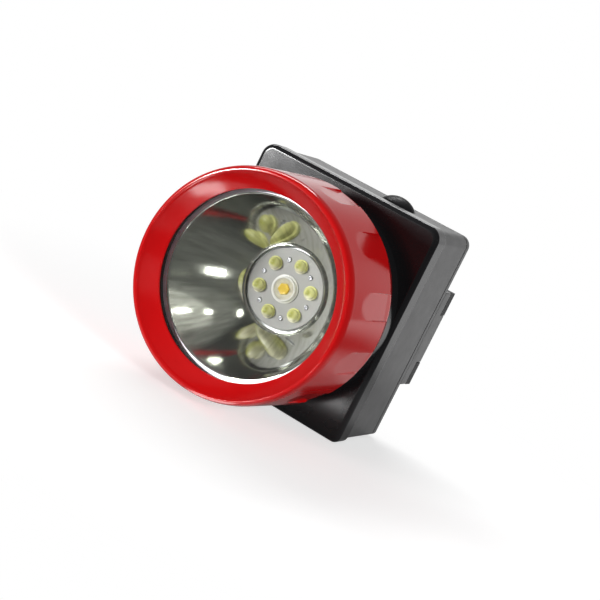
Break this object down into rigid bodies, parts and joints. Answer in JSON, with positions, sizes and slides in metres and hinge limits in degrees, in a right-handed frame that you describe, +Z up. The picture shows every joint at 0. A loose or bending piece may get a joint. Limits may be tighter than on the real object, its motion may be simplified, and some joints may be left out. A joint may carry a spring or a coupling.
{
  "type": "miner's cap lamp",
  "caption": "Cordless cap lamp for miners: a round lamp head with a screw-on red bezel on a flat black case with a head strap channel at its back.",
  "frame": {"origin": "under the middle of the lamp's bounding box, on the plane that its case stands on", "axes": "+Z up, -Y the way the lamp shines, +X the side that is on the right in a view of its front"},
  "size_m": [0.0726, 0.0948, 0.0781],
  "materials": {
    "bezel_red": "glossy moulded red",
    "cover_black": "glossy moulded black",
    "body_black": "satin moulded black",
    "frame_black": "satin moulded black",
    "button_black": "smooth moulded black",
    "lens_clear": "clear moulded",
    "reflector_mirror": "vacuum-plated mirror",
    "board_pale": "pale solder mask on a metal board",
    "led_white": "white moulded light body",
    "led_dome": "clear dome",
    "led_yellow": "yellow phosphor",
    "rubber_black": "soft black",
    "screw_steel": "zinc-plated steel",
    "sink_metal": "turned",
    "board_green": "green solder mask",
    "cell_can": "wrapped aluminium can",
    "foam_grey": "foam",
    "wire_red": "insulated wire",
    "pin_metal": "nickel-plated contact",
    "switch_black": "moulded",
    "socket_black": "moulded"
  },
  "bodies": {
    "case": {"front_cover": "cover_black", "case_body": "body_black", "back_cover": "body_black", "cover_seal": "rubber_black", "back_seal": "rubber_black", "case_screws": "screw_steel", "strap_frame": "frame_black", "barrel_seal": "rubber_black", "reflector": "reflector_mirror", "led_board": "board_pale", "main_led": "led_white", "main_led_dome": "led_dome", "aux_leds": "led_yellow", "heat_sink": "sink_metal", "sink_screws": "screw_steel", "button_seal": "rubber_black", "tact_switch": "switch_black", "switch_board": "board_green", "charge_socket": "socket_black", "socket_pin": "pin_metal", "control_board": "board_green", "board_screws": "screw_steel", "battery_cell": "cell_can", "battery_pads": "foam_grey", "battery_leads": "wire_red", "led_leads": "wire_red"},
    "lens_pack": {"lens": "lens_clear", "lens_gasket": "rubber_black"},
    "bezel": {"bezel_ring": "bezel_red"},
    "button": {"push_button": "button_black", "switch_plunger": "switch_black", "button_clip": "screw_steel"},
    "socket_flap": {"socket_cover": "rubber_black"}
  },
  "joints": [
    {"name": "bezel_turn", "type": "hinge", "parent": "lens_pack", "child": "bezel", "pos_m": [0, -0.03, 0.038], "axis": [0, -1, 0], "range_deg": [0, 720]},
    {"name": "lens_lift", "type": "slide", "parent": "case", "child": "lens_pack", "axis": [0, -1, 0], "range_m": [0, 0.006]},
    {"name": "button_press", "type": "slide", "parent": "case", "child": "button", "axis": [0, 0, -1], "range_m": [0, 0.0008], "stiffness_N_per_m": 500},
    {"name": "socket_cover_fold", "type": "hinge", "parent": "case", "child": "socket_flap", "pos_m": [-0.03295, 0.0218, 0.06695], "axis": [0, 1, 0], "range_deg": [0, 110]}
  ],
  "couplings": [
    {"joint": "lens_lift", "follows": "bezel_turn", "m_per_rad": 0.00047746}
  ]
}
